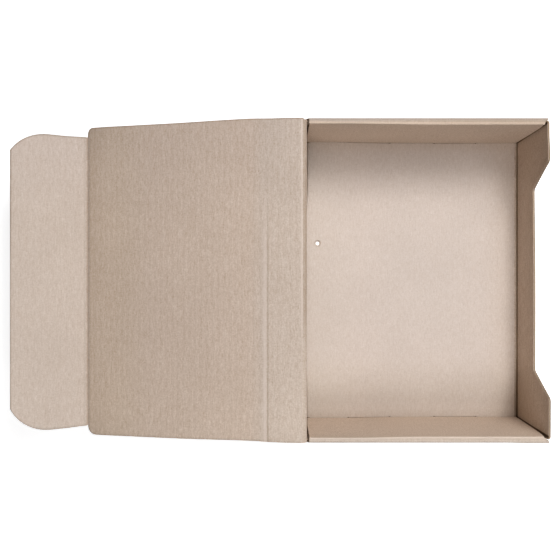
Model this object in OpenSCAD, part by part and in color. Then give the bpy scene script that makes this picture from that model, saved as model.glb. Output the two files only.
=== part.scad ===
// Archive transfer box: a low tray folded from one blank of corrugated board,
// with rolled double side walls, a notched front wall, and a hinged lid that
// ends in a tuck flap. It stands open: the lid is laid back past the rear wall.
// Millimetres. The origin is the centre of the tray's underside, the front wall
// faces +X, the lid's crease runs along Y, and +Z is up.

/* [Tray] */
// Length of the tray over the rear and front walls
tray_length = 257; // [244:1:360]
// Width of the tray over the two side walls
tray_width = 340; // [320:1:440]
// Height of the walls above the surface that the tray stands on
tray_height = 100; // [90:1:140]

/* [Board] */
// Thickness of the corrugated board
board = 2.4; // [2:0.1:3]
// Radius left inside a right-angled fold
fold_inside = 0.4; // [0.3:0.1:0.8]
// Play left between cut edges and layers that lie side by side
cut_play = 0.4; // [0.3:0.05:0.6]

/* [Rolled side walls] */
// Room between the two layers of a side wall beside the front corner flap
front_layer_room = 2; // [1.6:0.1:2.6]
// Room between the two layers near the rear wall
rear_layer_room = 0.9; // [0.8:0.1:1.5]
// Length over which the inner layer closes in behind the front corner flap
closing_run = 78; // [40:1:90]
// Rounding of the two creases along the rim
rim_round = 1.4; // [0.8:0.1:1.8]
// How far the rim stops short of the rear wall
rim_rear_gap = 1.6; // [1:0.1:3]
// How far the rim stops short of the front wall
rim_front_gap = 0.4; // [0.3:0.1:2]
// How much further back the rim's ends are cut at their inner edge
rim_end_slant = 2.6; // [0:0.1:4]
// Height up to which the inner layer stands close to the rear wall
rear_edge_kink = 42; // [20:1:70]

/* [Lock tabs] */
// Width of a lock tab at the foot of the inner layer
tab_width = 48; // [30:1:60]
// Distance between the centres of a side's two lock tabs
tab_pitch = 103; // [75:1:125]
// Play of a tab in its slot, on each side
tab_play = 0.3; // [0.2:0.05:0.6]
// How far a tab's end stays above the tray's underside
tab_recess = 0.4; // [0.2:0.1:1]

/* [Corner flaps] */
// Length of the corner flaps on the front wall
front_flap_length = 130; // [110:1:135]
// Length of the corner flaps on the rear wall
rear_flap_length = 84; // [50:1:95]
// How much lower than the rim the rear corner flaps end
rear_flap_drop = 18; // [8:1:40]
// Taper of each corner flap's free end, along its height
flap_taper = 9; // [4:1:16]
// Play on each side of a flap between the two layers
layer_play = 0.15; // [0.1:0.05:0.25]

/* [Front notch] */
// Depth of the notch below the top of the front wall
notch_depth = 45; // [25:1:60]
// Width of the notch along its lower edge
notch_base = 202; // [120:1:204]
// Width of the notch at the top of the front wall
notch_top = 250; // [210:1:256]
// Rounding of the notch's corners
notch_round = 5; // [2:0.5:8]

/* [Floor hole] */
// Diameter of the small hole in the floor
hole_diameter = 8; // [4:0.5:12]
// Distance of the hole's centre from the inner face of the rear wall
hole_from_rear = 12.8; // [10:0.2:30]
// Distance of the hole's centre from the tray's middle line
hole_aside = 44; // [-50:1:60]

/* [Lid] */
// Distance from the lid's crease to the bend across the lid
lid_rear_length = 40.9; // [25:0.1:60]
// Room between the shut lid's front crease and the inside of the front wall
tuck_room = 7.5; // [6:0.1:12]
// How much narrower than the tray the lid is, on each side
lid_side_inset = 0.5; // [0.3:0.1:3]
// Rounding of the lid's two corners beside the tuck flap
lid_corner_round = 7; // [3:0.5:15]
// How far the bent lid panel hangs below the level, in degrees
lid_droop = 11.4; // [8:0.1:14]
// Height of the lid's underside above the rim when it is shut
lid_lift = 0.3; // [0.3:0.05:1]

/* [Tuck flap] */
// Length of the tuck flap from its crease to its free edge
tuck_length = 78.3; // [50:0.1:84]
// How far each side of the tuck flap is set in from the lid's side
tuck_side_inset = 10; // [8:0.5:30]
// Radius of the tuck flap's two large corners
tuck_corner_radius = 44; // [20:1:48]
// How far the corner arcs would pass the free edge, which cuts them off
tuck_corner_nip = 3.3; // [0:0.1:6]
// Angle between the lid panel and the raised tuck flap, in degrees
tuck_angle = 39.1; // [36:0.1:45]

/* [Creases] */
// Half angle of the pinched board at the lid's crease, in degrees
hinge_pinch = 33; // [28:1:36]
// Half angle of the pinched board inside the tuck flap's crease, in degrees
tuck_pinch_angle = 34; // [28:1:36]
// Half angle that the board gives way below the bend, in degrees
bend_pinch = 7.5; // [7:0.1:12]
// Distance of each board's end from the line that it folds about
crease_gap = 0.25; // [0.15:0.05:0.4]

/* [Hidden] */

kraft = "#c9b6a2";
kraft_inner = "#cdbba8";
$fn = 48;
ARC_STEPS = 12;

// How far neighbouring stretches of the folded board reach into each other
lap = 0.02;

fold_outside = board + fold_inside;
half_length = tray_length / 2;
half_width = tray_width / 2;
rear_face = board - half_length;
front_face = half_length - board;

// The layers of a side wall, as distances from the tray's middle line
outer_layer = half_width - board;
front_layer = outer_layer - front_layer_room;
rear_layer = outer_layer - rear_layer_room;

// The front corner flap's end, and where the inner layer has closed in behind it
flap_end = half_length - front_flap_length;
closed_in = flap_end - closing_run;
closing_angle = atan((rear_layer - front_layer) / closing_run);

// The folded corners that join the front and rear walls to their corner flaps
corner_outside = outer_layer - cut_play / 2;
corner_axis = corner_outside - fold_outside;

// The line that the lid folds about, and the one that the lid panel bends about
hinge_x = board / 2 - half_length;
hinge_z = tray_height + lid_lift + board / 2;
bend_x = hinge_x - lid_rear_length;
lid_length = front_face - tuck_room - hinge_x;
lid_panel_length = lid_length - lid_rear_length;
tuck_x = bend_x - lid_panel_length * cos(lid_droop);
tuck_z = hinge_z - lid_panel_length * sin(lid_droop);

lid_half_width = half_width - lid_side_inset;
tuck_half_width = lid_half_width - tuck_side_inset;

function arc(centre, radius, from, to) = [
    for (i = [0:ARC_STEPS])
        let (a = from + (to - from) * i / ARC_STEPS)
            centre + radius * [cos(a), sin(a)]
];

// Points of an arc that rounds the corner b between the sides b-a and b-c
function rounded(a, b, c, radius) =
    let (
        u = (a - b) / norm(a - b),
        v = (c - b) / norm(c - b),
        half = acos(u * v) / 2,
        centre = b + (u + v) / norm(u + v) * radius / sin(half),
        start = b + u * radius / tan(half) - centre,
        end = b + v * radius / tan(half) - centre,
        from = atan2(start.y, start.x),
        turn = atan2(start.x * end.y - start.y * end.x, start * end)
    )
    arc(centre, radius, from, from + turn);

// Length over which a board narrows to the fold line on one face
function pinch(half_angle) = board / 2 / tan(half_angle);

// Lengthwise section of a piece of board that lies along +X from its first fold
// line. The ends are pinched or cut square on the upper and the lower face.
module board_section(length, start_up, start_down, end_up, end_down) {
    tip = crease_gap * tan(hinge_pinch);
    far = length - crease_gap;
    polygon([
        [crease_gap, -tip],
        [max(crease_gap, start_down), -board / 2],
        [length - max(crease_gap, end_down), -board / 2],
        [far, -tip],
        [far, tip],
        [length - max(crease_gap, end_up), board / 2],
        [max(crease_gap, start_up), board / 2],
        [crease_gap, tip]
    ]);
}

// A board_section drawn out across the box and trimmed to a plan outline
module board_panel(half_span, length, start_up, start_down, end_up, end_down) {
    intersection() {
        rotate([90, 0, 0])
            linear_extrude(2 * half_span, center = true)
                board_section(length, start_up, start_down, end_up, end_down);
        translate([0, 0, -board])
            linear_extrude(2 * board)
                children();
    }
}

// Quarter of a tube in the first quadrant, as the board takes at a fold, with
// a short straight end that reaches into the board on each side
module fold_quarter(length) {
    linear_extrude(length) {
        intersection() {
            difference() {
                circle(fold_outside);
                circle(fold_inside);
            }
            square(fold_outside);
        }
        translate([fold_inside, -lap])
            square([board, lap]);
        translate([-lap, fold_inside])
            square([lap, board]);
    }
}

// Fold between the floor and a wall that stands at distance from the middle
module foot_fold(distance, length) {
    translate([distance - fold_outside, length / 2, fold_outside])
        rotate([90, 0, 0])
            mirror([0, 1, 0])
                fold_quarter(length);
}

module tab_ranges() {
    for (side = [-1, 1])
        translate([side * tab_pitch / 2, 0])
            children();
}

// Plan of the inner layer: straight beside the front flap, then closing in
module inner_layer_plan(from, to, extra) {
    polygon([
        [from, rear_layer + extra],
        [closed_in, rear_layer + extra],
        [flap_end, front_layer + extra],
        [to, front_layer + extra],
        [to, front_layer - board - extra],
        [flap_end, front_layer - board - extra],
        [closed_in, rear_layer - board - extra],
        [from, rear_layer - board - extra]
    ]);
}

module inner_layer() {
    rear_low = rear_face + cut_play + fold_inside;
    rear_high = rear_face + rim_rear_gap + cut_play;
    front_low = front_face - cut_play - fold_inside;
    front_high = front_face - rim_front_gap - rim_end_slant;
    head = tray_height - board + lap;
    shoulder = head - 3 * board;
    intersection() {
        linear_extrude(tray_height)
            inner_layer_plan(-half_length, half_length, 0);
        translate([0, half_width, 0])
            rotate([90, 0, 0])
                linear_extrude(half_width)
                    polygon([
                        [rear_low, board + cut_play / 2],
                        [front_low, board + cut_play / 2],
                        [front_low, shoulder],
                        [front_high, head],
                        [rear_high, head],
                        [rear_low, rear_edge_kink]
                    ]);
    }
    intersection() {
        translate([0, 0, tab_recess])
            linear_extrude(2 * board)
                inner_layer_plan(-half_length, half_length, 0);
        linear_extrude(4 * board)
            tab_ranges()
                translate([-tab_width / 2, 0])
                    square([tab_width, half_width]);
    }
}

module outer_layer_panel() {
    rear_end = cut_play + board / 2 - half_length;
    front_end = front_face + cut_play;
    head = tray_height - board + lap;
    translate([0, half_width, 0])
        rotate([90, 0, 0])
            linear_extrude(board)
                polygon([
                    [rear_end, fold_outside],
                    [front_end, fold_outside],
                    [front_end, head - board],
                    [front_face - rim_front_gap, head],
                    [rear_face + rim_rear_gap, head],
                    [rear_end, head - 2 * board]
                ]);
    fold_length = front_end - rear_end - 2 * cut_play;
    translate([(front_end + rear_end) / 2, 0, 0])
        rotate([0, 0, 90])
            foot_fold(half_width, fold_length);
}

// Section of a strip of the rim along one of its edges, which is rounded
module rim_section(width) {
    intersection() {
        square([width, board]);
        union() {
            square([width, board - rim_round]);
            translate([rim_round, 0])
                square([width, board]);
            translate([rim_round, board - rim_round])
                circle(rim_round);
        }
    }
}

// A strip of the rim along +X, with its rounded edge on the -Y side
module rim_strip(length) {
    translate([0, 0, tray_height - board])
        rotate([90, 0, 90])
            linear_extrude(length)
                rim_section(4 * board);
}

// One stretch of the rim along its inner edge. A stretch that turns is drawn
// back a little, so that its ends stay inside those of its neighbours.
module rim_stretch(start, end, turn) {
    setback = turn == 0 ? 0 : lap;
    intersection() {
        translate([start.x, start.y, 0])
            rotate([0, 0, turn])
                translate([-board, setback, 0])
                    rim_strip(norm(end - start) + 2 * board);
        translate([start.x, end.y - board, 0])
            cube([end.x - start.x, 8 * board, 2 * tray_height]);
    }
}

module rim() {
    rear_end = rear_face + rim_rear_gap;
    front_end = front_face - rim_front_gap;
    rear_edge = rear_layer - board;
    front_edge = front_layer - board;
    edge = [
        [-half_length, rear_edge],
        [closed_in, rear_edge],
        [flap_end, front_edge],
        [half_length, front_edge]
    ];
    turns = [0, -closing_angle, 0];
    intersection() {
        union()
            for (i = [0:2])
                rim_stretch(edge[i], edge[i + 1], turns[i]);
        translate([-half_length, half_width, 0])
            mirror([0, 1, 0])
                rim_strip(tray_length);
        linear_extrude(2 * tray_height)
            polygon([
                [rear_end + rim_end_slant / 2, front_edge],
                [front_end - rim_end_slant, front_edge],
                [front_end, half_width],
                [rear_end, half_width]
            ]);
    }
}

module side_wall() {
    outer_layer_panel();
    inner_layer();
    rim();
}

// One corner flap: end_x is its free end, wall_x the wall face that it folds from
module corner_flap(wall_x, length, room, drop) {
    inward = -sign(wall_x);
    thickness = room - 2 * layer_play;
    foot = board + cut_play;
    head = tray_height - board - cut_play - drop;
    axis_x = wall_x + inward * fold_outside;
    end_x = wall_x + inward * length;
    translate([0, outer_layer - layer_play, 0])
        rotate([90, 0, 0])
            linear_extrude(thickness)
                polygon([
                    [axis_x, foot],
                    [end_x - inward * flap_taper / 2, foot],
                    [end_x, foot + flap_taper],
                    [end_x, head - flap_taper],
                    [end_x - inward * flap_taper / 2, head],
                    [axis_x, head]
                ]);
    corner_foot = fold_outside + cut_play;
    translate([axis_x, corner_axis, corner_foot])
        mirror([wall_x > 0 ? 0 : 1, 0, 0])
            fold_quarter(tray_height - cut_play - corner_foot);
}

// The notched edge of the front wall, seen from the front
function notch_corner_points() =
    let (
        top = tray_height,
        base = tray_height - notch_depth,
        wide = notch_top / 2,
        narrow = notch_base / 2,
        shoulder = [wide, top],
        valley = [narrow, base]
    )
    concat(
        rounded([corner_axis, top], shoulder, valley, notch_round),
        rounded(shoulder, valley, [0, base], notch_round)
    );

module front_wall() {
    right = notch_corner_points();
    count = len(right);
    left = [for (i = [count - 1:-1:0]) [-right[i].x, right[i].y]];
    translate([front_face, 0, 0])
        rotate([90, 0, 90])
            linear_extrude(board)
                polygon(concat(
                    [
                        [-corner_axis, fold_outside],
                        [corner_axis, fold_outside],
                        [corner_axis, tray_height]
                    ],
                    right,
                    left,
                    [[-corner_axis, tray_height]]
                ));
    foot_fold(half_length, 2 * corner_axis);
}

module rear_wall() {
    translate([hinge_x, 0, hinge_z])
        rotate([0, 90, 0])
            board_panel(
                corner_axis, hinge_z - fold_outside + crease_gap,
                pinch(hinge_pinch), pinch(hinge_pinch), 0, 0
            )
                translate([0, -corner_axis])
                    square([hinge_z - fold_outside, 2 * corner_axis]);
    mirror([1, 0, 0])
        foot_fold(half_length, 2 * corner_axis);
}

module floor_panel() {
    difference() {
        translate([-half_length + fold_outside, -half_width + fold_outside, 0])
            cube([
                tray_length - 2 * fold_outside,
                tray_width - 2 * fold_outside,
                board
            ]);
        translate([rear_face + hole_from_rear, hole_aside, -board])
            cylinder(d = hole_diameter, h = 3 * board);
    }
}

module slots() {
    slot_width = tab_width + 2 * tab_play;
    intersection() {
        translate([0, 0, -board])
            linear_extrude(2 * board + cut_play / 2)
                inner_layer_plan(-half_length, half_length, tab_play);
        translate([0, 0, -2 * board])
            linear_extrude(4 * board)
                tab_ranges()
                    translate([-slot_width / 2, 0])
                        square([slot_width, half_width]);
    }
}

module tray() {
    color(kraft_inner) {
        difference() {
            union() {
                floor_panel();
                front_wall();
                rear_wall();
            }
            for (side = [0, 1])
                mirror([0, side, 0])
                    slots();
        }
        for (side = [0, 1])
            mirror([0, side, 0]) {
                side_wall();
                corner_flap(half_length, front_flap_length, front_layer_room, 0);
                corner_flap(
                    -half_length, rear_flap_length, rear_layer_room, rear_flap_drop
                );
            }
    }
}

// Lays a flat piece out from its fold line towards -X, turned down by an angle
module laid_back(fold_x, fold_z, down) {
    translate([fold_x, 0, fold_z])
        rotate([0, -down, 0])
            mirror([1, 0, 0])
                children();
}

module lid_rear() {
    nip = board;
    color(kraft)
        laid_back(hinge_x, hinge_z, 0)
            board_panel(
                half_width, lid_rear_length,
                pinch(hinge_pinch), pinch(hinge_pinch),
                0, board / 2 * tan(bend_pinch) + crease_gap
            )
                polygon([
                    [0, nip - lid_half_width],
                    [nip, -lid_half_width],
                    [lid_rear_length, -lid_half_width],
                    [lid_rear_length, lid_half_width],
                    [nip, lid_half_width],
                    [0, lid_half_width - nip]
                ]);
}

module lid_panel() {
    far = lid_panel_length;
    side = lid_half_width;
    corner = rounded([0, side], [far, side], [far, 0], lid_corner_round);
    count = len(corner);
    color(kraft)
        laid_back(bend_x, hinge_z, lid_droop)
            board_panel(
                half_width, far,
                0, board / 2 * tan(bend_pinch) + crease_gap,
                pinch(tuck_pinch_angle), 0
            )
                polygon(concat(
                    [[0, -side], [0, side]],
                    corner,
                    [for (i = [count - 1:-1:0]) [corner[i].x, -corner[i].y]]
                ));
}

module tuck_flap() {
    side = tuck_half_width;
    radius = tuck_corner_radius;
    reach = tuck_length - radius + tuck_corner_nip;
    last = acos((tuck_length - reach) / radius);
    corner = arc([reach, side - radius], radius, 90, last);
    count = len(corner);
    color(kraft_inner)
        laid_back(tuck_x, tuck_z, lid_droop - tuck_angle)
            board_panel(
                half_width, tuck_length + crease_gap, pinch(tuck_pinch_angle), 0, 0, 0
            )
                polygon(concat(
                    [[0, -side], [0, side]],
                    corner,
                    [for (i = [count - 1:-1:0]) [corner[i].x, -corner[i].y]]
                ));
}

tray();
lid_rear();
lid_panel();
tuck_flap();
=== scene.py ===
import math
from collections import namedtuple

import bmesh
import bpy
import numpy as np
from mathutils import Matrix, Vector, geometry, noise


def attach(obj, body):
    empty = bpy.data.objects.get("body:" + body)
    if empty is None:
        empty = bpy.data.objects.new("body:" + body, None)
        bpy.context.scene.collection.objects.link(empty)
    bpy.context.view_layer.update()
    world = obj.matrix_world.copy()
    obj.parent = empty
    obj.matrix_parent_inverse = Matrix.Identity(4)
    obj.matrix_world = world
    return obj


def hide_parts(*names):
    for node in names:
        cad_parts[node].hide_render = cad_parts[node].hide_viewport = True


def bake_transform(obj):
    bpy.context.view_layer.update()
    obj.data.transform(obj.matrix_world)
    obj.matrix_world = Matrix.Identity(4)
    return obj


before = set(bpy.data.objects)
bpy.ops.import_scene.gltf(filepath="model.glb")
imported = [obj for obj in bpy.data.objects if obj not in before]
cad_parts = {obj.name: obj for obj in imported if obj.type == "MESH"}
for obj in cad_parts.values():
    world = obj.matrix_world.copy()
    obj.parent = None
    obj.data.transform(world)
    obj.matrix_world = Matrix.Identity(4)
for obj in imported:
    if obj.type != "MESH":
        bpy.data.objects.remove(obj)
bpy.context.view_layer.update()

MM = 0.001

# Sizes of the folded board in millimetres, as the CAD part has them
BOARD = 2.4
TRAY_HALF = 170.0
TRAY_HEIGHT = 100.0
HINGE_X, HINGE_Z = -127.3, 101.5
LID_HALF = 169.5
LID_REAR = 40.9
LID_LENGTH = 245.9
TUCK_X, TUCK_Z = -369.156, 60.98
TUCK_LENGTH = 78.3
TUCK_TILT = math.radians(27.7)
TUCK_HALF = 159.5
TUCK_ROUND = 44.0
WALL_MIDDLE = 127.3
REAR_WALL_HALF = 164.6
# Centres of the folds at the foot of the front and rear walls and of the side walls
FOLD_X, FOLD_Y, FOLD_Z = 125.7, 167.2, 2.8
FOLD_INNER, FOLD_MIDDLE, FOLD_OUTER = 0.4, 1.6, 2.8
RIM_ROUND = 1.4
NOTCH_FLOOR, NOTCH_FOOT, NOTCH_HEAD, NOTCH_ROUND = 55.0, 101.0, 125.0, 5.0
TABS = ((-75.5, -27.5), (27.5, 75.5))
HOLE_X, HOLE_Y = -113.3, 44.0

# What is finer than the CAD part, or follows the photo where it differs a little. Where
# both sides have a value of their own, 1 stands for the +Y side and -1 for the -Y side.
LINER = 0.3
MEDIUM = 0.22
PITCH = 6.5
ROW_STEP = PITCH / 6
CREASE_GAP = 0.35
LID_START = 1.65
LID_CORNER = {1: 6.6, -1: 10.5}
LID_TILT = math.radians(11.0)
LID_YAW = -1.35
TUCK_ROUND_FROM = {1: 41.1, -1: 38.2}
FLOOR_END = 122.7
WALL_ENDS = (162.4, 162.9, 163.5, REAR_WALL_HALF)
NOTCH_EDGE_HALF = 0.86
SHARP_ANGLE = math.radians(30)

# How raw the board's inside looks between its liners, and its fluted core
INSIDE_WEAR = 0.8
CORE_WEAR = 0.7
# The grain changes lightness and hardly any hue, so red swings least and blue most
GRAIN_SHARES = (0.8, 1.05, 1.31)

# Heights in metres between which the rims' own look comes in
RIM_BELOW, RIM_ABOVE = 0.094, 0.098

scene = bpy.context.scene


def srgb(colour):
    """A colour given in steps from 0 to 255, as the linear values that a shader takes."""
    out = []
    for step in colour:
        v = step / 255
        out.append(v / 12.92 if v <= 0.04045 else ((v + 0.055) / 1.055) ** 2.4)
    return (*out, 1.0)


def smooth(t):
    """A soft step from 0 to 1."""
    t = np.clip(t, 0, 1)
    return t * t * (3 - 2 * t)


def bell(t, width):
    """A soft bump, 1 in its middle."""
    return np.exp(-((t / width) ** 2))


def grain(x, y, scale, seed):
    """Smooth noise over a plane, from -1 to 1, the same on every run."""
    x, y = np.broadcast_arrays(x, y)
    flat = [
        noise.noise(Vector((a / scale, b / scale, seed)))
        for a, b in zip(x.ravel(), y.ravel())
    ]
    return np.array(flat).reshape(x.shape)


class Nodes:
    """Short ways to add and join the shader nodes of one material or world."""

    def __init__(self, owner):
        self.owner = owner
        owner.use_nodes = True
        self.tree = owner.node_tree
        self.tree.nodes.clear()

    def add(self, kind, **values):
        node = self.tree.nodes.new(kind)
        for key, value in values.items():
            setattr(node, key, value)
        return node

    def put(self, socket, value):
        if isinstance(value, bpy.types.NodeSocket):
            self.tree.links.new(value, socket)
        else:
            socket.default_value = value

    def math(self, operation, a, b=0.0, c=0.0):
        node = self.add("ShaderNodeMath", operation=operation)
        for socket, value in zip(node.inputs, (a, b, c)):
            self.put(socket, value)
        return node.outputs[0]

    def noise(self, vector, scale, detail, rough):
        """Noise from 0 to 1 with about so many grains to the metre."""
        node = self.add("ShaderNodeTexNoise")
        self.put(node.inputs["Vector"], vector)
        node.inputs["Scale"].default_value = scale
        node.inputs["Detail"].default_value = detail
        node.inputs["Roughness"].default_value = rough
        return node.outputs["Fac"]

    def stretch(self, vector, scale):
        node = self.add("ShaderNodeMapping")
        self.put(node.inputs["Vector"], vector)
        node.inputs["Scale"].default_value = scale
        return node.outputs["Vector"]

    def remap(self, value, low, high, to_low=0.0, to_high=1.0):
        node = self.add("ShaderNodeMapRange")
        for socket, v in zip(node.inputs[:5], (value, low, high, to_low, to_high)):
            self.put(socket, v)
        return node.outputs[0]

    def mix(self, factor, a, b, blend="MIX"):
        node = self.add("ShaderNodeMix", data_type="RGBA", blend_type=blend)
        self.put(node.inputs[0], factor)
        self.put(node.inputs[6], a)
        self.put(node.inputs[7], b)
        return node.outputs[2]

    def backdrop(self):
        """1 for rays that show the background, straight, in gloss or through glass, else 0."""
        rays = self.add("ShaderNodeLightPath").outputs
        seen = self.math("MAXIMUM", rays["Is Camera Ray"], rays["Is Glossy Ray"])
        return self.math("MAXIMUM", seen, rays["Is Transmission Ray"])

    def finish(self, kind, surface):
        out = self.add(kind)
        self.put(out.inputs["Surface"], surface)
        return self.owner


def kraft(name, colour, grit, ribs, tints, rim_calm=None):
    """Kraft board: mottled liner, fine fibres, the flutes' ribs, darker cut board, and painted
    light and shade.

    grit is the strength of the grain and ribs that of the flutes. Each tint is an axis, the
    places between which it comes in, and a colour factor. The axis is 0 to 2 for X, Y and Z
    in metres, or 3 for millimetres across the flutes. rim_calm is the share of the grain
    that is left on the rims. Where it is given, the tints too are for the rims alone.

    The mesh carries two numbers at each point. "flute" is the distance in millimetres
    across the flutes, and the other runs from -1, a painted highlight, to 1, the darker colour of
    cut board and of painted shade, and 2, painted shade deep in a slit.
    """
    nodes = Nodes(bpy.data.materials.new(name))
    place = nodes.add("ShaderNodeTexCoord").outputs["Object"]
    flute = nodes.add("ShaderNodeAttribute", attribute_name="flute").outputs["Fac"]
    wear = nodes.add("ShaderNodeAttribute", attribute_name="wear").outputs["Fac"]
    cloud = nodes.noise(place, 14, 3.0, 0.55)
    mottle = nodes.noise(place, 130, 3.0, 0.6)
    fleck = nodes.noise(place, 640, 3.0, 0.75)
    fibre = nodes.noise(nodes.stretch(place, (1.0, 0.16, 1.0)), 800, 2.0, 0.7)
    hair = nodes.noise(nodes.stretch(place, (0.5, 1.0, 1.0)), 1500, 1.0, 0.6)

    light = srgb(c + step for c, step in zip(colour, (14, 18, 23)))
    dark = srgb(c - 6 for c in colour)
    speck = srgb(c - 46 for c in colour)
    # The darker colour of cut and crushed board, used as painted shade in creases and slits too
    raw_and_shade = srgb(c * share for c, share in zip(colour, (0.66, 0.61, 0.53)))
    # Nearly black painted shade for the slits between layers
    deep = srgb(c * share for c, share in zip(colour, (0.36, 0.3, 0.25)))
    tone = nodes.mix(nodes.remap(cloud, 0.36, 0.64, 0.15, 0.85), dark, srgb(colour))
    tone = nodes.mix(nodes.remap(mottle, 0.44, 0.76, 0.0, 0.6), tone, dark)
    tone = nodes.mix(nodes.remap(hair, 0.68, 0.84, 0.0, 0.8), tone, speck)
    tone = nodes.mix(nodes.remap(hair, 0.16, 0.3, 0.8, 0.0), tone, light)

    turn = nodes.math("MULTIPLY", flute, 2 * math.pi / PITCH)
    wave = nodes.math("SINE", nodes.math("ADD", turn, math.pi / 2))
    wave = nodes.math("MULTIPLY", wave, nodes.remap(mottle, 0.35, 0.65, 0.3, 1.0))
    gain = nodes.math("MULTIPLY_ADD", nodes.math("SUBTRACT", fleck, 0.5), grit, 1.0)
    gain = nodes.math("MULTIPLY_ADD", nodes.math("SUBTRACT", fibre, 0.5), 0.75 * grit, gain)
    gain = nodes.math("MULTIPLY_ADD", wave, ribs, gain)
    split = nodes.add("ShaderNodeSeparateXYZ")
    nodes.put(split.inputs[0], place)
    axes = [*split.outputs, flute]
    swing = nodes.math("SUBTRACT", gain, 1.0)
    if rim_calm:
        calm = nodes.remap(axes[2], RIM_BELOW, RIM_ABOVE, 1.0, rim_calm)
        swing = nodes.math("MULTIPLY", swing, calm)
    joined = nodes.add("ShaderNodeCombineColor")
    for socket, share in zip(joined.inputs, GRAIN_SHARES):
        nodes.put(socket, nodes.math("MULTIPLY_ADD", swing, share, 1.0))
    tone = nodes.mix(1.0, tone, joined.outputs[0], "MULTIPLY")
    for axis, begin, full, factor in tints:
        tinted = nodes.mix(1.0, tone, (*factor, 1.0), "MULTIPLY")
        share = nodes.remap(axes[axis], begin, full)
        if rim_calm:
            share = nodes.math("MULTIPLY", share, nodes.remap(axes[2], RIM_BELOW, RIM_ABOVE))
        tone = nodes.mix(share, tone, tinted)
    # Values up to 1 darken, partly as cut board and partly as painted shade, values from 1 to 2
    # paint a slit's deep shade, and negative values paint highlights
    tone = nodes.mix(nodes.remap(wear, 0.0, 1.0), tone, raw_and_shade)
    tone = nodes.mix(nodes.remap(wear, 1.0, 2.0), tone, deep)
    tone = nodes.mix(nodes.remap(wear, 0.0, -1.0), tone, light)

    # Heights of the surface's relief in metres
    height = nodes.math("MULTIPLY", fleck, 0.00004)
    height = nodes.math("MULTIPLY_ADD", mottle, 0.00005, height)
    height = nodes.math("MULTIPLY_ADD", fibre, 0.00003, height)
    height = nodes.math("MULTIPLY_ADD", wave, 0.00002, height)
    bump = nodes.add("ShaderNodeBump")
    bump.inputs["Strength"].default_value = 1.0
    bump.inputs["Distance"].default_value = 1.0
    nodes.put(bump.inputs["Height"], height)
    shader = nodes.add("ShaderNodeBsdfPrincipled")
    nodes.put(shader.inputs["Base Color"], tone)
    nodes.put(shader.inputs["Roughness"], nodes.remap(fleck, 0.3, 0.7, 0.84, 0.95))
    shader.inputs["Specular IOR Level"].default_value = 0.18
    nodes.put(shader.inputs["Normal"], bump.outputs[0])
    return nodes.finish("ShaderNodeOutputMaterial", shader.outputs[0])


LID_TINTS = (
    (3, 60, 44, (0.968, 1.0, 1.025)),  # cooler strip at the hinge
    (3, 170, 205, (0.967, 0.963, 0.935)),  # painted shade, darker and a little warmer near the flap
    (1, 0.06, 0.15, (0.935, 0.935, 0.945)),  # painted shade, darker towards +Y
    (1, -0.06, -0.15, (1.035, 1.035, 1.025)),  # painted light, lighter towards -Y
)
FLAP_TINTS = (
    (1, 0.06, 0.15, (0.98, 0.98, 1.0)),  # painted shade, darker towards +Y
    (1, -0.06, -0.15, (1.035, 1.035, 1.035)),  # painted light, lighter towards -Y
)
FLOOR_TINTS = (
    (1, 0.15, 0.163, (1.0, 0.97, 0.93)),  # warmer hue of painted shade along the +Y wall
    (1, -0.154, -0.164, (0.88, 0.86, 0.84)),  # painted shade along the -Y wall
    (1, -0.09, -0.13, (1.045, 1.045, 1.02)),  # painted light, lighter towards -Y
    (0, -0.06, -0.12, (0.945, 0.96, 0.955)),  # painted shade, darker towards the rear
    (0, 0.085, 0.115, (1.045, 1.035, 1.01)),  # painted light, lighter towards the front
)
WALL_TINTS = (
    (1, 0.1655, 0.1693, (0.93, 1.04, 1.22)),  # greyer outer edge of the +Y rim
    (1, -0.1655, -0.1693, (0.97, 1.03, 1.1)),  # greyer outer edge of the -Y rim
)
# The lid, flap, floor and walls are one board; the small differences between their colours are
# painted light and shade, the walls' warmer hue standing in for the richer colour of their shade
LID_KRAFT = kraft("kraft_lid", (206, 186, 170), 0.75, 0.018, LID_TINTS)
FLAP_KRAFT = kraft("kraft_flap", (207, 191, 178), 0.55, 0.01, FLAP_TINTS)
FLOOR_KRAFT = kraft("kraft_floor", (211, 197, 187), 0.4, 0.006, FLOOR_TINTS)
WALL_KRAFT = kraft("kraft_walls", (210, 190, 172), 0.95, 0.01, WALL_TINTS, 0.4)


# Points, faces and the two numbers at each point that the kraft material reads
Sheet = namedtuple("Sheet", "points faces flute wear")


def slab(upper, lower, flute, wear, lower_wear=None):
    """A closed sheet between two grids of points, with its thin sides."""
    shape = upper.shape[:2]
    count = shape[0] * shape[1]
    index = np.arange(count).reshape(shape)
    points = np.concatenate([upper.reshape(-1, 3), lower.reshape(-1, 3)])
    a, b = index[:-1, :-1].ravel(), index[:-1, 1:].ravel()
    c, d = index[1:, 1:].ravel(), index[1:, :-1].ravel()
    rim = np.concatenate([
        index[0, :], index[1:, -1], index[-1, -2::-1], index[-2:0:-1, 0]
    ])
    following = np.roll(rim, -1)
    faces = np.concatenate([
        np.stack([a, b, c, d], 1),
        np.stack([d, c, b, a], 1) + count,
        np.stack([rim, rim + count, following + count, following], 1),
    ])
    if lower_wear is None:
        lower_wear = wear
    wears = [np.broadcast_to(v, shape).ravel() for v in (wear, lower_wear)]
    flutes = np.tile(np.broadcast_to(flute, shape).ravel(), 2)
    return Sheet(points, faces.tolist(), flutes, np.concatenate(wears))


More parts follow.
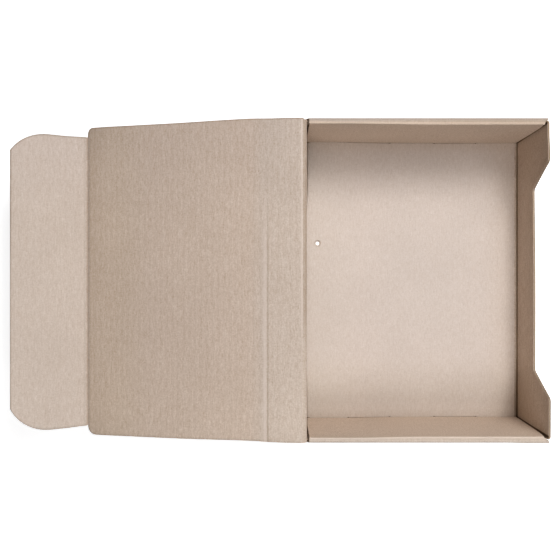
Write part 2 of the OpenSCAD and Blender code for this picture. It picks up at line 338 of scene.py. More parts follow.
def make(name, sheets, material):
    """One mesh object from sheets in millimetres."""
    faces, start = [], 0
    for sheet in sheets:
        faces += [tuple(i + start for i in face) for face in sheet.faces]
        start += len(sheet.points)
    points = np.concatenate([sheet.points for sheet in sheets])
    mesh = bpy.data.meshes.new(name)
    mesh.from_pydata((points * MM).tolist(), [], faces)
    shape = bmesh.new()
    shape.from_mesh(mesh)
    bmesh.ops.recalc_face_normals(shape, faces=shape.faces)
    shape.to_mesh(mesh)
    shape.free()
    for number in ("flute", "wear"):
        values = np.concatenate([getattr(sheet, number) for sheet in sheets])
        mesh.attributes.new(number, "FLOAT", "POINT").data.foreach_set(
            "value", values.astype(np.float32)
        )
    mesh.materials.append(material)
    mesh.shade_smooth()
    mesh.set_sharp_from_angle(angle=SHARP_ANGLE)
    mesh.update()
    made = bpy.data.objects.new(name, mesh)
    scene.collection.objects.link(made)
    return made


def both_ways(half):
    """Places on both sides of the middle, from a list that begins in the middle."""
    return np.concatenate([-half[:0:-1], half])


def across(half, count):
    """Shares of the half width, closer together near both edges."""
    edge = 1 - np.array([0.0, 0.25, 0.7, 1.4, 3.0]) / half
    middle = np.linspace(edge[-1], -edge[-1], count)[1:-1]
    return np.concatenate([-edge, middle[::-1], edge[::-1]])


def stations(length, corner):
    """Distances along a panel, closer together where its corners are round."""
    straight = np.arange(0, length - corner, ROW_STEP)
    turn = length - corner + corner * np.sin(np.linspace(0, math.pi / 2, 12))
    return np.unique(np.concatenate([straight, turn, [length - 0.05]]).round(4))


def flute_wave(along, top, bottom):
    """Offset of the fluted core between the two liners."""
    wave = (BOARD / 2 - LINER - MEDIUM / 2) * np.cos(2 * math.pi * along / PITCH)
    return np.clip(wave, bottom + LINER + MEDIUM / 2, top - LINER - MEDIUM / 2)


def board_layers(face, top, bottom, along, wear_top, wear_bottom):
    """Top liner, bottom liner and core of a piece of board, each as a thin sheet."""
    wave = flute_wave(along, top, bottom)
    return [
        slab(face(top), face(top - LINER), along, wear_top, INSIDE_WEAR),
        slab(face(bottom + LINER), face(bottom), along, INSIDE_WEAR, wear_bottom),
        slab(face(wave + MEDIUM / 2), face(wave - MEDIUM / 2), along, CORE_WEAR),
    ]


def lid_crease(distance):
    """How deep the lid's upper face sinks towards the tuck flap's crease."""
    return 0.8 * bell(distance, 1.5) + 0.15 * bell(distance, 4.5) + 0.2 * bell(distance, 9)


def flap_crease(distance):
    """How deep the tuck flap's upper face sinks towards its crease."""
    return 0.85 * bell(distance, 0.9) - 0.14 * bell(distance - 1.9, 0.8)


def lid_sheets():
    """The lid from its hinge to the tuck flap's crease, as liners and core."""
    end = LID_LENGTH - CREASE_GAP
    steps = stations(end - LID_START, LID_CORNER[-1]) + LID_START
    halves = {}
    for side, radius in LID_CORNER.items():
        into = np.clip(steps - (end - radius), 0, radius - 0.02)
        halves[side] = LID_HALF - radius + np.sqrt(radius**2 - into**2)
        near = steps < BOARD
        halves[side][near] = LID_HALF - BOARD + steps[near]
    halves[-1] += 0.9 * np.clip(1 - steps / LID_REAR, 0, 1)
    share = across(LID_HALF, 22)
    half = np.where(share > 0, halves[1][:, None], halves[-1][:, None])
    y = half * share[None, :]
    way = np.broadcast_to(steps[:, None], y.shape)
    to_edge = half - np.abs(y)

    # The bend is a sharp line that fades towards +Y, where the strip slopes more itself
    drift = smooth((y - 10) / 150)
    clear = (1 - smooth((y - 20) / 90)) * (1 + 0.3 * smooth(-(y + 20) / 120))
    past_bend = way - LID_REAR
    bend_wide = 2.2 + 20 * drift
    turned = smooth((past_bend + bend_wide / 2) / bend_wide)
    along = np.clip(past_bend / (LID_LENGTH - LID_REAR), 0, 1)
    strip = (3.4 + 5.5 * drift) * smooth((way - 5.5) / 4)
    panel = 9.6 + 3.0 * np.sin(math.pi * along / 1.15)
    slope = np.radians(strip + (panel - strip) * turned)
    shift = LID_YAW * along + 0.7 * smooth((way - 35) / 25) * (1 - smooth((way - 60) / 90))
    step = np.diff(steps, prepend=0.0)[:, None]
    fall = np.cumsum(np.sin(slope) * step, 0)
    reach = np.cumsum(np.cos(slope) * step, 0)
    # Every column is drawn out to end at the tuck flap's crease
    whole_fall = HINGE_Z - TUCK_Z - CREASE_GAP * math.sin(LID_TILT)
    fall = fall * (whole_fall / fall[-1:, :])
    whole_reach = HINGE_X - TUCK_X - CREASE_GAP * math.cos(LID_TILT)
    reach = reach * (whole_reach / reach[-1:, :])

    to_fold = np.minimum(way - LID_START, end - way)
    calm = smooth(to_fold / 25)
    cup = 1.3 * smooth((np.abs(y) - 95) / 75)
    warp = (0.35 * grain(reach, y, 75, 3.1) + cup) * calm
    under_skin = 0.9 * smooth((4.6 - way) / 2.5)
    groove = 0.12 * bell(past_bend + 1.2, 0.8) * clear
    ridge = 0.07 * bell(past_bend - 1.5, 1.5) * clear
    crush = 0.36 * bell(to_edge, 0.8)
    rib = 0.04 * np.cos(2 * math.pi * way / PITCH) * smooth(to_fold / 6)

    x = HINGE_X - reach
    z = HINGE_Z - fall + warp
    rubbed = 0.45 + 0.3 * smooth(y / 60)
    y = y + shift

    def face(offset):
        return np.stack([x - offset * np.sin(slope), y, z + offset * np.cos(slope)], 2)

    top = BOARD / 2 - crush - lid_crease(end - way) - under_skin - groove + ridge + rib
    bottom = -BOARD / 2 + crush + rib + 0.35 * bell(end - way, 1.0)
    wear = rubbed * bell(to_edge, 1.0)
    # Painted shade along the bend's groove, and a painted highlight on the band beside it
    wear += 0.48 * bell(past_bend + 1.2, 0.8) * clear
    wear -= 0.6 * bell(past_bend - 1.5, 1.8) * clear
    # Painted shade darkens the lid towards the tuck flap's crease, more towards +Y
    wear += 0.2 * bell(end - way, 2.2) + (0.13 + 0.0003 * y) * bell(end - way, 16)
    return board_layers(face, top, bottom, way, wear, 0.45 * bell(to_edge, 0.9))


def tuck_sheets():
    """The tuck flap, as liners and core."""
    straight_end = TUCK_ROUND_FROM[-1]
    straight = np.arange(CREASE_GAP, straight_end, ROW_STEP)
    last = math.acos((TUCK_LENGTH - straight_end) / TUCK_ROUND)
    turn = straight_end + TUCK_ROUND * np.sin(np.linspace(0, math.pi / 2 - last, 40))
    early = CREASE_GAP + np.array([0.3, 0.7, 1.5])
    steps = np.unique(np.concatenate([straight, early, turn]).round(4))
    share = across(TUCK_HALF, 18)
    begin = np.where(share > 0, TUCK_ROUND_FROM[1], TUCK_ROUND_FROM[-1])
    over = np.clip(steps[:, None] - begin, 0, TUCK_ROUND)
    half = TUCK_HALF - TUCK_ROUND + np.sqrt(TUCK_ROUND**2 - over**2)
    y = half * share
    way = np.broadcast_to(steps[:, None], y.shape)
    past_crease = way - CREASE_GAP
    warp = 0.5 * grain(way + 400, y, 80, 7.7) * smooth(past_crease / 20)
    end = steps[-1]
    to_edge = half - np.abs(y)
    crush = 0.36 * bell(to_edge, 0.8) + 0.3 * bell(end - way, 0.8)
    rib = 0.035 * np.cos(2 * math.pi * way / PITCH) * smooth(past_crease / 6)
    rubbed = 0.5 + 0.3 * smooth(y / 60)
    y = y + LID_YAW - 0.25 - 0.7 * smooth(way / 25)
    cos, sin = math.cos(TUCK_TILT), math.sin(TUCK_TILT)

    def face(offset):
        up = offset + warp
        return np.stack([
            TUCK_X - way * cos + up * sin, y, TUCK_Z + way * sin + up * cos
        ], 2)

    top = BOARD / 2 - crush + rib - flap_crease(past_crease)
    bottom = -BOARD / 2 + crush + rib + 0.35 * bell(past_crease, 1.0)
    wear = rubbed * bell(to_edge, 1.1) + rubbed * bell(end - way, 1.1)
    # A painted highlight and a line of painted shade on the flap beside its crease
    wear = wear - 0.1 * bell(way - 1.5, 0.8) + 0.25 * bell(way - 2.9, 0.8)
    return board_layers(face, top, bottom, way, wear, 0.45 * bell(to_edge, 0.9))


lid = make("lid_board", lid_sheets(), LID_KRAFT)
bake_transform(lid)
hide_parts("lid_rear", "lid_panel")

tuck = make("tuck_board", tuck_sheets(), FLAP_KRAFT)
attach(tuck, "tuck_flap")
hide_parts("tuck_flap")


def skin(path, ends, wear, seed, behind, fade=0.0):
    """A liner that bridges a fold, its section given by points along X and Z.

    ends are its lowest and highest Y. behind is 1 where the board lies to the left of
    the path, and -1 to its right. fade is how much of the darkening and painted highlight is lost
    towards -Y.
    """
    path = np.asarray(path, float)
    run = np.gradient(path, axis=0)
    run /= np.linalg.norm(run, axis=1)[:, None]
    inward = np.stack([-run[:, 1], run[:, 0]], 1) * behind
    length = np.concatenate([[0], np.cumsum(np.linalg.norm(np.diff(path, axis=0), axis=1))])
    columns = 91
    y = np.broadcast_to(np.linspace(*ends, columns), (len(path), columns))
    calm = smooth(np.minimum(length, length[-1] - length) / 1.5)[:, None]
    wobble = 0.07 * grain(4 * length[:, None], y, 9, seed) * calm

    def face(depth):
        offset = depth + wobble
        x = path[:, :1] + inward[:, :1] * offset
        z = path[:, 1:] + inward[:, 1:] * offset
        return np.stack([x, y, z], 2)

    wear = np.asarray(wear)[:, None] * (1 - fade * smooth(-(y + 30) / 50))
    return slab(face(0.0), face(LINER), length[:, None], wear)


HINGE_INNER = [
    (-126.08, 98.6), (-126.08, 99.6), (-126.15, 100.3), (-126.42, 100.9),
    (-126.9, 101.25), (-127.45, 101.4), (-128.1, 101.62), (-128.8, 101.95),
    (-129.5, 102.3), (-130.1, 102.62), (-130.6, 102.84), (-131.05, 102.9),
    (-131.6, 102.82), (-132.1, 102.73), (-132.5, 102.68),
]
# Across the hinge: the crushed score, darkened partly as painted shade, and a painted highlight
# on the ridge beside it
HINGE_WEAR_AND_LIGHT = [0, 0.1, 0.2, 0.35, 0.5, 0.55, 0.42, 0.38, 0.34, 0.3, -0.2, -0.85, -0.7, -0.3, 0]
HINGE_OUTER = [(-128.51, 98.4), (-128.51, 98.9)]
HINGE_OUTER += [
    (-129.51 + math.cos(t), 99.29 + math.sin(t)) for t in np.radians(np.linspace(0, 90, 9))
]
HINGE_OUTER += [(-130.0, 100.29), (-130.7, 100.29)]

hinge_inner = make(
    "hinge_inner",
    [skin(HINGE_INNER, (-170.2, 168.2), HINGE_WEAR_AND_LIGHT, 1.3, 1, fade=0.7)], LID_KRAFT,
)
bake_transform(hinge_inner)
hinge_outer = make(
    "hinge_outer",
    [skin(
        HINGE_OUTER, (-REAR_WALL_HALF, REAR_WALL_HALF), [0.1] * len(HINGE_OUTER), 2.3, -1
    )], LID_KRAFT,
)
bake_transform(hinge_outer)


def before_fold(distance, offset):
    """A section point on the lid, at a distance before the tuck flap's crease."""
    cos, sin = math.cos(LID_TILT), math.sin(LID_TILT)
    return (
        TUCK_X + distance * cos - offset * sin, TUCK_Z + distance * sin + offset * cos
    )


def after_fold(distance, offset):
    """A section point on the tuck flap, at a distance past its crease."""
    cos, sin = math.cos(TUCK_TILT), math.sin(TUCK_TILT)
    return (
        TUCK_X - distance * cos + offset * sin, TUCK_Z + distance * sin + offset * cos
    )


def pinched(distance):
    """Offset of the lower face beside the tuck flap's crease."""
    return -BOARD / 2 + 0.35 * bell(distance - CREASE_GAP, 1.0)


tuck_upper = [
    before_fold(d, BOARD / 2 - lid_crease(d - CREASE_GAP) + lift)
    for d, lift in ((2.8, -0.02), (2.2, 0.01), (1.6, 0.02), (1.1, 0.02), (0.7, 0.02))
]
tuck_upper += [
    after_fold(d, BOARD / 2 - flap_crease(d - CREASE_GAP) + lift)
    for d, lift in ((0.6, 0.02), (1.0, 0.02), (1.4, 0.02), (1.9, 0.01), (2.4, -0.02))
]
tuck_lower = [before_fold(d, pinched(d) - 0.02) for d in (2.4, 1.6, 1.0, 0.5)]
tuck_lower += [(TUCK_X - 0.14, TUCK_Z - 0.9)]
tuck_lower += [after_fold(d, pinched(d) - 0.02) for d in (0.5, 1.0, 1.6, 2.4)]
# Painted shade in the tuck flap's crease and a painted highlight just past it on the flap
UPPER_WEAR_AND_LIGHT = [0.15, 0.18, 0.2, 0.24, 0.3, 0.42, 0.28, -0.1, -0.2, 0.05]

ends = (LID_YAW - TUCK_HALF + 0.2, LID_YAW + TUCK_HALF - 0.2)
for name, path, wear, behind in (
    ("crease_upper", tuck_upper, UPPER_WEAR_AND_LIGHT, 1),
    ("crease_lower", tuck_lower, [0.15] * len(tuck_lower), -1),
):
    piece = make(name, [skin(path, ends, wear, 5.1, behind)], LID_KRAFT)
    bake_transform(piece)


# The tray: floor, front and rear walls, rolled side walls and corner flaps
def rounded(before, corner, after, radius):
    """Points of an arc that rounds a corner between two straight edges."""
    before, corner, after = (np.array(p, float) for p in (before, corner, after))
    u = (before - corner) / np.linalg.norm(before - corner)
    v = (after - corner) / np.linalg.norm(after - corner)
    half = math.acos(u @ v) / 2
    centre = corner + (u + v) / np.linalg.norm(u + v) * radius / math.sin(half)
    start = corner + u * radius / math.tan(half) - centre
    end = corner + v * radius / math.tan(half) - centre
    first = math.atan2(start[1], start[0])
    turn = math.atan2(start[0] * end[1] - start[1] * end[0], start @ end)
    angles = first + np.linspace(0, turn, 9)
    return centre + radius * np.stack([np.cos(angles), np.sin(angles)], 1)


def lean(y, z):
    """How far the front wall stands outwards at each place."""
    width = 2 * TRAY_HALF
    bulge = 0.9 * np.cos(math.pi * np.clip(y, -TRAY_HALF, TRAY_HALF) / width) * smooth(z / 30)
    tilt = z / TRAY_HEIGHT * (0.05 + 0.95 * (TRAY_HALF - y) / width)
    corner = 0.8 * bell(y - 132, 12) + 0.25 * smooth((-y - 112) / 15)
    return tilt + bulge * smooth((160 - y) / 160) + corner * smooth((z - 60) / 40)


def wall_sheets(facing, y, top_edge, tail):
    """Both liners of the front or rear wall, from its fold at the floor upwards.

    facing is 1 for the front and -1 for the rear. top_edge is the wall's height at
    each y, and tail holds the depths below it at which there are rows.
    """
    # Each row: X and Z of the board's middle, X and Z of the outward direction, and
    # the way from the middle of the fold
    rows = [(x, BOARD / 2, 0, -1, 126 - x) for x in (FLOOR_END, 123.9, 124.5, 124.9, 125.3)]
    for t in np.radians([-90, -70, -45, -20, 0]):
        cos, sin = math.cos(t), math.sin(t)
        rows.append((
            FOLD_X + FOLD_MIDDLE * cos, FOLD_Z + FOLD_MIDDLE * sin, cos, sin,
            0.38 * abs(t + 0.785),
        ))
    rows += [(WALL_MIDDLE, z, 1, 0, z - 2.5) for z in (3.1, 3.5, 4.0, 5.0)]
    # Above them come rows that even out towards the wall's edge, and rows along the edge
    foot, level = rows[-1][1], len(rows)
    rising = foot + np.linspace(0, 1, 8)[1:-1, None] * (top_edge - tail[0] - foot)
    edge = top_edge - np.array(tail)[:, None]
    rows += [(WALL_MIDDLE, 0, 1, 0, 50)] * (len(rising) + len(edge))
    x, level_z, out_x, out_z, away = np.array(rows, float).T[:, :, None]
    z = np.concatenate([np.repeat(level_z[:level], len(y), 1), rising, edge])
    y = np.broadcast_to(y, z.shape)
    depth = np.maximum(top_edge - z, 0)
    bow = 0.5 * grain(y, z, 70, 11.0 + facing)
    bow = bow * smooth((z - 4) / 20) * smooth(depth / 20) * smooth((150 - np.abs(y)) / 30)
    if facing > 0:
        bow = bow + lean(y, z) * (z > 4)
    # Painted shade darkens the ends in the slits to the side walls, and the front towards -Y near
    # its foot
    painted_shade = np.where(y > 0, 1.3, 1.75) * smooth((np.abs(y) - 163.0) / 0.8)
    if facing > 0:
        painted_shade = painted_shade + 0.35 * smooth((-y - 85) / 40) * (1 - smooth((z - 5) / 70))

    def face(offset):
        offset = offset + bow
        return np.stack([facing * (x + out_x * offset), y, z + out_z * offset], 2)

    # The fold reaches under the side walls' feet
    y = y * np.where(out_z < -0.3, 1.0075, 1.0)
    # The rear wall's fold is only pressed deep near its ends
    pressed = 1.0 if facing > 0 else smooth((y - 85) / 25) + 0.4 * smooth((-y - 115) / 15)
    groove = bell(away, 0.95) * (0.25 + 0.75 * pressed)
    crush = 0.15 * bell(depth, 0.5)
    inner = -BOARD / 2 + groove + crush
    outer = BOARD / 2 - 0.25 * groove - crush
    along = np.where(out_z < -0.9, x, z)
    edge_wear = (0.1 + 0.4 * (facing > 0) * smooth((np.abs(y) - 100) / 20)) * bell(depth, 0.45)
    # The fold's groove is darker, partly as crushed board and partly as painted shade
    crease_wear_and_shade = 0.95 * bell(away, 0.9) * pressed
    return [
        slab(face(outer), face(outer - LINER), along, 0.1 * groove + edge_wear, 0.2),
        slab(face(inner), face(inner + LINER), along, crease_wear_and_shade + edge_wear + painted_shade, 0.2),
    ]


def notch_core(y, top_edge):
    """The fluted core behind the cut edge of the front wall, 8 mm deep, and its crushed rim."""
    depth = np.concatenate([[0.03, 0.4], np.arange(0.9, 8.1, 0.6)])[:, None]
    z = top_edge - depth
    crush = 0.15 * bell(depth, 0.5)
    y = np.broadcast_to(y, z.shape)
    wave = flute_wave(z, BOARD / 2 - crush, -BOARD / 2 + crush) + WALL_MIDDLE + lean(y, z)
    core = slab(
        np.stack([wave + MEDIUM / 2, y, z], 2), np.stack([wave - MEDIUM / 2, y, z], 2),
        z, 0.2,
    )
    # The knife has pressed the flutes' fibres down between the liners
    middle = WALL_MIDDLE + lean(y[0], top_edge)
    across_edge = np.array([-NOTCH_EDGE_HALF, -0.4, 0.0, 0.4, NOTCH_EDGE_HALF])[:, None]
    uneven = 0.12 * grain(across_edge * 9, y[:1], 3, 41.0)
    sunk = 0.3 + 0.25 * (1 - (across_edge / NOTCH_EDGE_HALF) ** 2) + uneven
    rim = [
        np.stack([middle + across_edge, y[:5], top_edge - sunk - low], 2) for low in (0, 0.2)
    ]
    # The cut edge is darker towards both ends of the notch, more on the -Y side
    darker_ends = np.where(y[0] > 0, 0.3, 0.5) * smooth((np.abs(y[0]) - 100) / 20)
    return [core, slab(rim[0], rim[1], top_edge, 0.75 + darker_ends)]


def front_sheets():
    """The front wall with its notch."""
    middle, foot = (0, NOTCH_FLOOR), (NOTCH_FOOT, NOTCH_FLOOR)
    head, end = (NOTCH_HEAD, TRAY_HEIGHT), (TRAY_HALF, TRAY_HEIGHT)
    notch = np.concatenate([
        [middle],
        rounded(middle, foot, head, NOTCH_ROUND),
        rounded(foot, head, end, NOTCH_ROUND),
        [end],
    ])
    half = np.concatenate([
        np.linspace(0, 96, 9), np.arange(96.6, 129.5, 0.6), [130, 140, 150, 158], WALL_ENDS
    ])
    y = both_ways(half)
    top_edge = np.interp(np.abs(y), notch[:, 0], notch[:, 1])
    tail = (8, 6, 4.5, 3.2, 2.2, 1.4, 0.8, 0.4, 0.15, 0)
    return wall_sheets(1, y, top_edge, tail) + notch_core(y, top_edge)


def rear_sheets():
    """The rear wall, which ends below the lid's crease."""
    y = both_ways(np.concatenate([np.linspace(0, 158, 20), WALL_ENDS]))
    return wall_sheets(-1, y, np.full(len(y), 99.85), (8, 4, 2, 1, 0.5, 0))


def layer_inside(x, side):
    """Distance from the middle plane to the foot of a side wall's inner layer."""
    return 164.3 - 1.1 * smooth((x + 79.5) / 78) + (0.65 if side < 0 else 0.7)


def side_rows():
    """Section of a side wall, rolled over the rim, from the floor up and down again.

    Each row: share of the inner layer's place, Y and Z of the outer and of the inner point,
    both ends along X, and the shading number: above 0 darker cut board and painted shade, below 0
    a painted highlight.
    """
    rows = []
    for t in np.radians([-90, -67, -45, -22, 0]):
        cos, sin = math.cos(t), math.sin(t)
        rows.append((
            0, FOLD_Y + FOLD_OUTER * cos, FOLD_Z + FOLD_OUTER * sin,
            FOLD_Y + FOLD_INNER * cos, FOLD_Z + FOLD_INNER * sin, -126.5, 126.1, 0.1,
        ))
    inside = TRAY_HALF - BOARD
    for z in (5, 12, 30, 50, 70, 84, 92, 95.2):
        rows.append((0, TRAY_HALF, z, inside, z, -126.9, 126.5, 0.0))
    rows.append((0, TRAY_HALF, 97.6, inside, 96.8, -124.5, 125.7, 0.05))
    # The rim's outer crease, darkened with painted shade, its flat top, lightened with a painted
    # highlight towards the inside, and its inner crease, with a painted highlight
    crease_y, crease_z = TRAY_HALF - RIM_ROUND, TRAY_HEIGHT - RIM_ROUND
    turn = np.radians(np.linspace(0, 90, 6))
    for t, wear in zip(turn, (0.2, 0.45, 0.6, 0.6, 0.45, 0.3)):
        cos, sin = math.cos(t), math.sin(t)
        rows.append((
            0, crease_y + RIM_ROUND * cos, crease_z + RIM_ROUND * sin,
            167.4 + 0.2 * cos, 97.3 + 0.2 * sin, -123.9, 125.5, wear,
        ))
    for share, sag, wear in (
        (0.12, 0.2, 0.1), (0.35, 0.3, 0.0), (0.6, 0.27, 0.0), (0.82, 0.1, -0.25)
    ):
        rows.append((
            share, crease_y - 167.2 * share, TRAY_HEIGHT - sag, 167.4 - 164.8 * share, 97.5 - sag,
            -123.9 + 0.5 * share, 125.5 - 2.8 * share, wear,
        ))
    for t, wear in zip(turn, (-0.8, -0.9, -0.7, -0.3, 0.0, 0.0)):
        cos, sin = math.cos(t), math.sin(t)
        rows.append((
            1, 0.9 - 0.9 * sin, 99.15 + 0.9 * cos, 2.6 - 0.2 * sin, 97.3 + 0.2 * cos,
            -123.4, 122.7, wear,
        ))
    for z, rear, front in (
        (97, -123.5, 122.8), (94, -123.6, 123.4), (90.4, -123.8, 124.0),
        (78, -124.3, 124.1), (60, -125.1, 124.2), (42, -125.8, 124.3),
        (24, -125.9, 124.4), (10, -125.9, 124.5), (5, -125.9, 124.5),
    ):
        rows.append((1, 0, z, BOARD, z, rear, front, 0.0))
    # Painted shade along the inner layer's foot on the floor
    rows.append((1, 0, 2.6, BOARD, 2.6, -125.9, 124.5, 0.4))
    return np.array(rows, float)


def side_sheets(side):
    """One rolled side wall as two liners and the closed core between them."""
    share, outer_y, outer_z, inner_y, inner_z, rear, front, wear = side_rows().T[:, :, None]
    on_rim = outer_z > 97
    if side < 0:
        front = front + 2.0 * (on_rim & (share < 0.9))
        # Less painted shade on the -Y rim's creases
        wear = wear * np.where(share < 0.1, 0.6, 0.8)
    else:
        front = front + 0.8 * on_rim
    front = front + 1.0 * (on_rim & (share < 0.3))
    steps = [x + d for tab in TABS for x in tab for d in (-0.6, -0.01, 0.01, 0.6)]
    columns = np.unique(np.concatenate([np.linspace(-121, 121, 38), steps]))
    bowed = (share == 0) | ((share == 1) & (outer_z < 97.5))

    def grids(inset):
        """Outer and inner points, and their way to the nearer end, drawn in by the inset."""
        near = np.array([0, 0.3, 0.9, 1.6])[None, :] + inset
        x = np.concatenate([
            rear + near, np.repeat(columns[None, :], len(share), 0), front - near[:, ::-1]
        ], 1)
        to_end = np.minimum(x - rear, front - x)
        bow = 0.5 * grain(x, outer_z, 65, 21.0 * side)
        bow = bow * smooth(to_end / 18) * smooth((outer_z - 3) / 18) * smooth((99 - outer_z) / 16)
        bow = np.where(bowed, bow, 0)
        place = layer_inside(x, side) + 0.18 * grain(x, 0.0, 45, 31.0 * side)
        place = place - (0.15 if side < 0 else 1.1) * smooth((outer_z - 3) / 70)
        tab = np.zeros(x.shape, bool)
        for low, high in TABS:
            tab[-1] |= (x[-1] > low) & (x[-1] < high)
        drop = np.where(tab, 2.2, 0)
        if side < 0:
            flare = 0.75 + 0.6 * smooth((x - 80) / 25)
            bow = bow + flare * (1 - share) * smooth((outer_z - 40) / 50)
            bow = bow + 0.5 * share * smooth((outer_z - 60) / 35)
        outer = np.stack([x, share * place + outer_y + bow, outer_z - drop], 2)
        inner = np.stack([x, share * place + inner_y + bow, inner_z - drop], 2)
        return outer * (1, side, 1), inner * (1, side, 1), to_end

    outer, inner, to_end = grids(0.0)
    x = outer[:, :, 0]
    # The ends are darker, partly as cut board and partly as painted shade in the slits
    wear = wear + 0.4 * bell(to_end, 0.6)
    if side > 0:
        # Painted shade on the +Y rim's top, its painted highlight turned to slight shade,
        # deepening towards the front
        wear = wear + 0.3 * ((share > 0) & (share < 0.7))
        wear = np.where(wear < 0, -0.12 * wear, wear)
        wear = wear + 0.14 * smooth((x + 60) / 140) * on_rim
    else:
        # Less painted shade on the -Y outer crease towards the front
        wear = wear * (1 - 0.5 * smooth((x + 100) / 80) * (share < 0.1))
    liner = LINER / BOARD
    sheets = [
        slab(outer, outer + (inner - outer) * liner, x, wear, INSIDE_WEAR),
        slab(inner, inner + (outer - inner) * liner, x, 0.2, INSIDE_WEAR),
    ]
    outer, inner, _ = grids(0.8)
    core = liner + 0.01
    # The closed core is painted with a slit's deep shade
    sheets.append(slab(
        outer + (inner - outer) * core, inner + (outer - inner) * core, outer[:, :, 0], 1.5
    ))
    return sheets


def corner_sheets(facing, side):
    """The folded corner between a wall and its corner flap, and the flap's visible part."""
    flap_y, flap_top = (166.4, 97.2) if facing > 0 else (167.1, 79.2)
    fold = []
    for t in np.radians(np.linspace(0, 90, 9)):
        cos, sin = math.cos(t), math.sin(t)
        fold.append((
            FOLD_X + FOLD_OUTER * cos, REAR_WALL_HALF + FOLD_OUTER * sin,
            FOLD_X + FOLD_INNER * cos, REAR_WALL_HALF + FOLD_INNER * sin,
        ))
    flap = [(FOLD_X, 167.4, FOLD_X, 165.2)]
    flap += [(x, 167.45, x, flap_y) for x in (123, 90)]
    sheets = []
    for path, z in ((fold, [3.2, 30, 70, 99.6]), (flap, [2.8, 30, 70, flap_top])):
        # X and Y of the outer and of the inner points, with a column for each height
        z = np.array(z)
        path = np.array(path)[:, :, None] + 0 * z
        z = np.broadcast_to(z, path[:, 0].shape)
        out = lean(side * REAR_WALL_HALF, z) if facing > 0 else 0
        outer, inner = (
            np.stack([facing * (path[:, k] + out), side * path[:, k + 1], z], 2)
            for k in (0, 2)
        )
        # The flap's inner face is painted with the deep shade of the slit it lies in
        sheets.append(slab(outer, inner, path[:, 0], 0.3, 2.0))
    return sheets


def plate(loops, top, bottom, wear):
    """A flat plate with holes: the first loop is its outline."""
    flat = [[Vector((x, y, 0)) for x, y in loop] for loop in loops]
    triangles = geometry.tessellate_polygon(flat)
    around = np.concatenate([np.array(loop, float) for loop in loops])
    count = len(around)
    points = np.concatenate([
        np.column_stack([around, np.full(count, top)]),
        np.column_stack([around, np.full(count, bottom)]),
    ])
    faces = [tuple(t) for t in triangles]
    faces += [tuple(i + count for i in t[::-1]) for t in triangles]
    start = 0
    for loop in loops:
        for i in range(len(loop)):
            a, b = start + i, start + (i + 1) % len(loop)
            faces.append((a, b, b + count, a + count))
        start += len(loop)
    return Sheet(points, faces, points[:, 0], np.full(2 * count, wear))


def floor_sheets():
    """The floor with its four lock slots and the small punched hole."""
    x, y = FLOOR_END, FOLD_Y
    loops = [[(-x, -y), (x, -y), (x, y), (-x, y)]]
    shade_patches = []
    for low, high in TABS:
        for sign in (1, -1):
            inner = [
                (x, layer_inside(x, sign) - play) for x, play in (
                    (low - 2, 0.6), (low - 0.3, 0.6), (low + 2, 0.3),
                    (high - 2, 0.3), (high + 0.3, 0.6), (high + 2, 0.6),
                )
            ]
            outer = [(x, layer_inside(x, sign) + BOARD + 0.1) for x in (high + 2, low - 2)]
            loops.append([(x, sign * y) for x, y in inner + outer])
            # A dark patch of board closes the slot's play near its lower face, as painted shade
            # where the table would show through
            flap = [(low - 2.2, 1.2), (high + 2.2, 1.2), (high + 2.2, -0.6), (low - 2.2, -0.6)]
            flap = [(x, sign * (layer_inside(x, sign) - play)) for x, play in flap]
            shade_patches.append(plate([flap], 0.3, 0.03, 1.0))
    angles = np.linspace(0, 2 * math.pi, 33)
    cut = 4.3
    loops.append([
        (HOLE_X + cut * math.cos(t), HOLE_Y + cut * math.sin(t)) for t in angles[:-1]
    ])
    uneven = 0.12 * grain(2 * np.cos(angles), 2 * np.sin(angles), 1.1, 3.3)

    def ring(section):
        """Points round the hole, from radii and heights."""
        section = np.array(section)[:, :, None]
        radius = section[:, 0] + uneven
        return np.stack([
            HOLE_X + radius * np.cos(angles), HOLE_Y + radius * np.sin(angles),
            section[:, 1] + 0 * angles,
        ], 2)

    # The hole's wall is darkened as painted shade and narrows below into a burr that stands in
    # for the shade down in the hole; its lowest row is lighter
    upper = ring([(4.7, 2.41), (4.1, 2.38), (3.8, 2.2), (3.5, 1.8), (2.8, 0.9), (2.0, 0.25)])
    lower = ring([(4.7, 2.2), (4.2, 2.1), (4.05, 2.0), (4.0, 1.7), (3.9, 0.6), (3.6, 0.05)])
    wear = np.array([0, 0.1, 0.3, 0.3, 0.0, -0.7])[:, None]
    return [plate(loops, BOARD, 0.0, 0.0), slab(upper, lower, upper[:, :, 0], wear)] + shade_patches


tray_floor = make("tray_floor", floor_sheets() + rear_sheets(), FLOOR_KRAFT)
wall_parts = front_sheets()
for side in (1, -1):
    wall_parts += side_sheets(side)
    for facing in (1, -1):
        wall_parts += corner_sheets(facing, side)
tray_walls = make("tray_walls", wall_parts, WALL_KRAFT)
for piece in (tray_floor, tray_walls):
    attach(piece, "tray")
    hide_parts("tray")


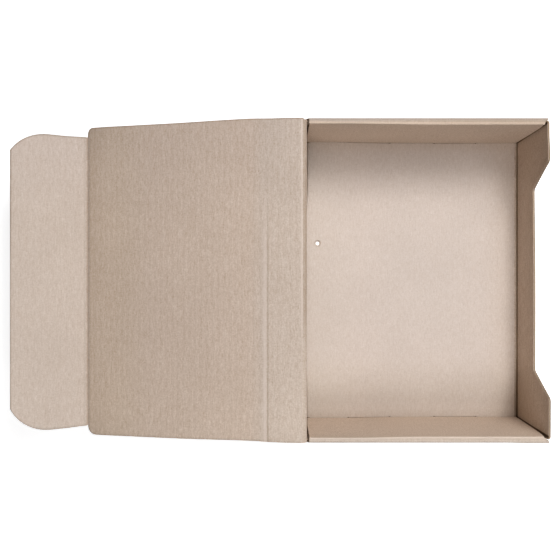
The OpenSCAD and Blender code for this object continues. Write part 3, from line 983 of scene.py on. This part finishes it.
# Floor, world, lamps and camera, in metres
def floor_material():
    """White paper that takes the object's shadow, and whose glow throws no light on it."""
    nodes = Nodes(bpy.data.materials.new("floor_white"))
    paper = nodes.add("ShaderNodeBsdfDiffuse")
    paper.inputs["Color"].default_value = (0.82, 0.82, 0.82, 1)
    # The glow is a little short of white round the box, where its shadow falls
    far = nodes.add("ShaderNodeVectorMath", operation="LENGTH")
    nodes.put(far.inputs[0], nodes.add("ShaderNodeTexCoord").outputs["Object"])
    level = nodes.remap(far.outputs["Value"], 0.5, 1.1, 0.7, 1.0)
    glow = nodes.add("ShaderNodeEmission")
    nodes.put(glow.inputs["Strength"], nodes.math("MULTIPLY", nodes.backdrop(), level))
    both = nodes.add("ShaderNodeAddShader")
    nodes.put(both.inputs[0], paper.outputs[0])
    nodes.put(both.inputs[1], glow.outputs[0])
    return nodes.finish("ShaderNodeOutputMaterial", both.outputs[0])


def white_world():
    """A world that shows as white and throws no light on the object."""
    nodes = Nodes(bpy.data.worlds.new("studio"))
    background = nodes.add("ShaderNodeBackground")
    background.inputs["Color"].default_value = (1, 1, 1, 1)
    nodes.put(background.inputs["Strength"], nodes.backdrop())
    return nodes.finish("ShaderNodeOutputWorld", background.outputs[0])


FLOOR_HALF = 3.0
corners = ((-1, -1), (1, -1), (1, 1), (-1, 1))
floor_mesh = bpy.data.meshes.new("floor")
floor_mesh.from_pydata(
    [(FLOOR_HALF * x, FLOOR_HALF * y, 0) for x, y in corners], [], [(0, 1, 2, 3)]
)
floor_mesh.materials.append(floor_material())
floor = bpy.data.objects.new("floor", floor_mesh)
floor.location = (-0.155, 0, -0.0003)
scene.collection.objects.link(floor)
scene.world = white_world()

LOOK_AT = Vector((-0.1, 0, 0.05))
# Square softboxes: name, place, width and power
for name, place, width, power in (
    ("key", (0.3, 0.7, 1.2), 0.5, 11.1),
    ("side", (0.4, 0.3, 1.2), 0.45, 2.9),
    ("far", (0.9, 0.9, 1.2), 0.45, 2.9),
    ("low", (0.9, -0.5, 1.2), 0.45, 1.1),
    ("left", (0.0, -0.63, 1.2), 0.5, 5.5),
    ("rear", (-0.4, -0.9, 1.2), 0.45, 1.2),
):
    lamp = bpy.data.lights.new(name, "AREA")
    lamp.shape = "SQUARE"
    lamp.size = width
    lamp.energy = power
    lamp_object = bpy.data.objects.new(name, lamp)
    lamp_object.location = place
    aim = LOOK_AT - Vector(place)
    lamp_object.rotation_euler = aim.to_track_quat("-Z", "Y").to_euler()
    scene.collection.objects.link(lamp_object)

# The camera's focal length and sideways shift in pixels of the photo, and its sensor in mm
PHOTO_WIDTH = 560
FOCAL_PIXELS = 647.65
SHIFT_PIXELS = -27
SENSOR = 36
camera_data = bpy.data.cameras.new("camera")
camera_data.sensor_width = SENSOR
camera_data.lens = SENSOR * FOCAL_PIXELS / PHOTO_WIDTH
camera_data.shift_x = SHIFT_PIXELS / PHOTO_WIDTH
camera_data.clip_start = 0.01
camera = bpy.data.objects.new("camera", camera_data)
camera.location = (-0.1259, 0, 0.779)
scene.collection.objects.link(camera)
scene.camera = camera
scene.view_settings.view_transform = "Standard"
